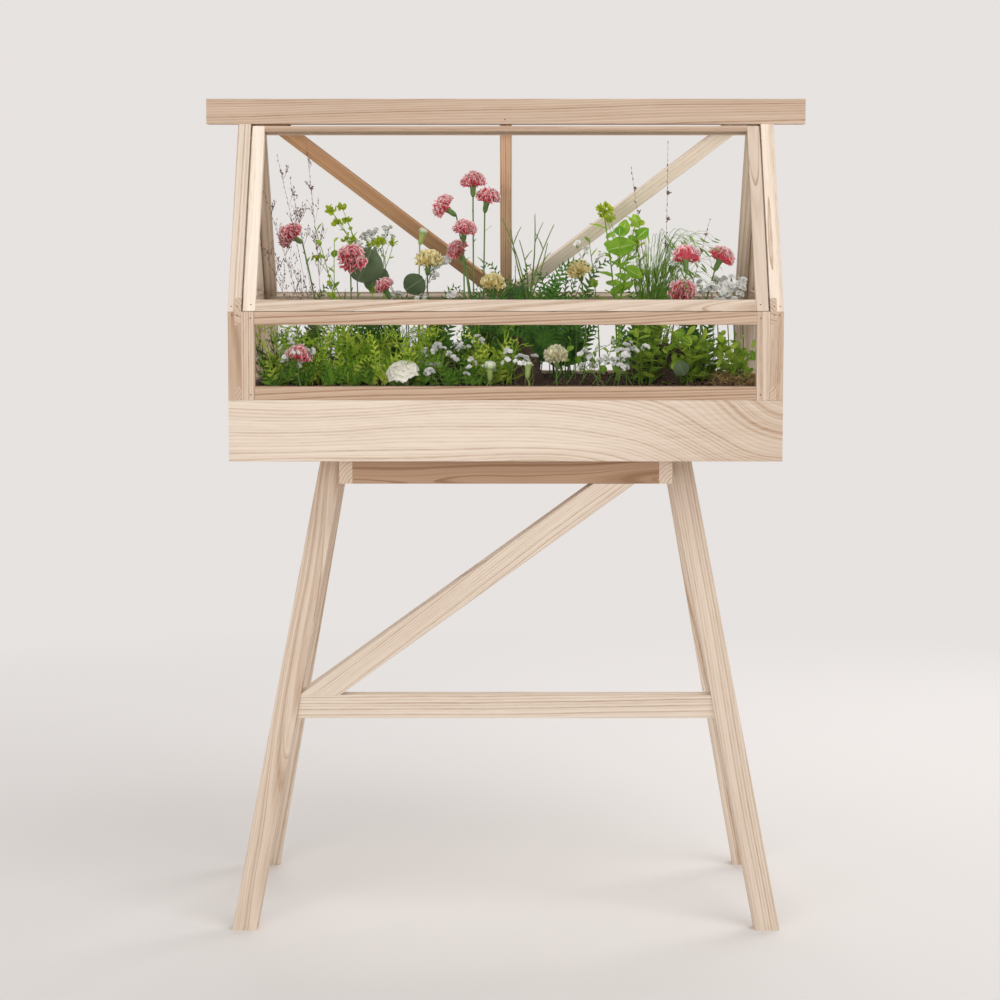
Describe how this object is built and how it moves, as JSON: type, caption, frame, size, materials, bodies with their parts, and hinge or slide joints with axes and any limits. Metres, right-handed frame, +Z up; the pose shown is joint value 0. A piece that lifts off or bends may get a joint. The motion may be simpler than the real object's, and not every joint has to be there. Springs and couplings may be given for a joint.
{
  "type": "greenhouse planter",
  "caption": "Small wooden greenhouse with a pitched glazed roof and hinged front sash, over a soil tray, on a splayed stand with one diagonal brace.",
  "frame": {"origin": "on the floor, under the middle of the object", "axes": "+X to the right as seen from the front, +Y to the back, +Z up; the roof sash is on the -Y side"},
  "size_m": [0.936, 0.408, 1.273],
  "materials": {
    "ash": "planed, clear matt oil",
    "warm_ash": "planed, clear matt oil",
    "plywood": "sanded plywood",
    "glass": "clear float glass",
    "steel": "zinc plated",
    "liner": "matt",
    "soil": "damp potting soil",
    "leaves": "satin leaves",
    "grass": "dry grass and stems",
    "carnation_petals": "soft petals",
    "white_petals": "soft petals"
  },
  "bodies": {
    "planter": {"leg_front_left": "ash", "leg_front_right": "ash", "leg_rear_left": "ash", "leg_rear_right": "ash", "bearer_left": "ash", "bearer_right": "ash", "long_rail_front": "warm_ash", "long_rail_rear": "warm_ash", "stretcher": "ash", "brace": "ash", "leg_screws": "steel", "tray_front": "ash", "tray_rear": "ash", "tray_left": "ash", "tray_right": "ash", "tray_floor": "plywood", "tray_liner": "liner", "soil": "soil", "front_window_stile_left": "ash", "front_window_stile_right": "ash", "front_window_rail_bottom": "warm_ash", "front_window_rail_top": "warm_ash", "front_window_glass": "glass", "rear_window_stile_left": "ash", "rear_window_stile_right": "ash", "rear_window_rail_bottom": "warm_ash", "rear_window_rail_top": "warm_ash", "rear_window_glass": "glass", "gable_left_posts": "ash", "gable_left_rails": "warm_ash", "gable_left_glass": "glass", "gable_right_posts": "ash", "gable_right_rails": "warm_ash", "gable_right_glass": "glass", "gable_left_rafter_front": "ash", "gable_left_rafter_rear": "ash", "gable_left_tie": "warm_ash", "gable_left_roof_glass": "glass", "gable_right_rafter_front": "ash", "gable_right_rafter_rear": "ash", "gable_right_tie": "warm_ash", "gable_right_roof_glass": "glass", "ridge_beam": "warm_ash", "hinge_pins": "steel", "rear_roof_stile_left": "ash", "rear_roof_stile_right": "ash", "rear_roof_rail": "ash", "rear_roof_mullion": "warm_ash", "rear_roof_diagonal_left": "warm_ash", "rear_roof_diagonal_right": "warm_ash", "rear_roof_glass": "glass", "carnations": "carnation_petals", "white_flowers": "white_petals", "foliage": "leaves", "tall_stems": "grass"},
    "roof_sash": {"sash_stile_left": "ash", "sash_stile_right": "ash", "sash_rail_bottom": "ash", "sash_rail_top": "warm_ash", "sash_glass": "glass"}
  },
  "joints": [
    {"name": "sash_hinge", "type": "hinge", "parent": "planter", "child": "roof_sash", "pos_m": [0, -0.025, 1.2115], "axis": [-1, 0, 0], "range_deg": [0, 140]}
  ]
}
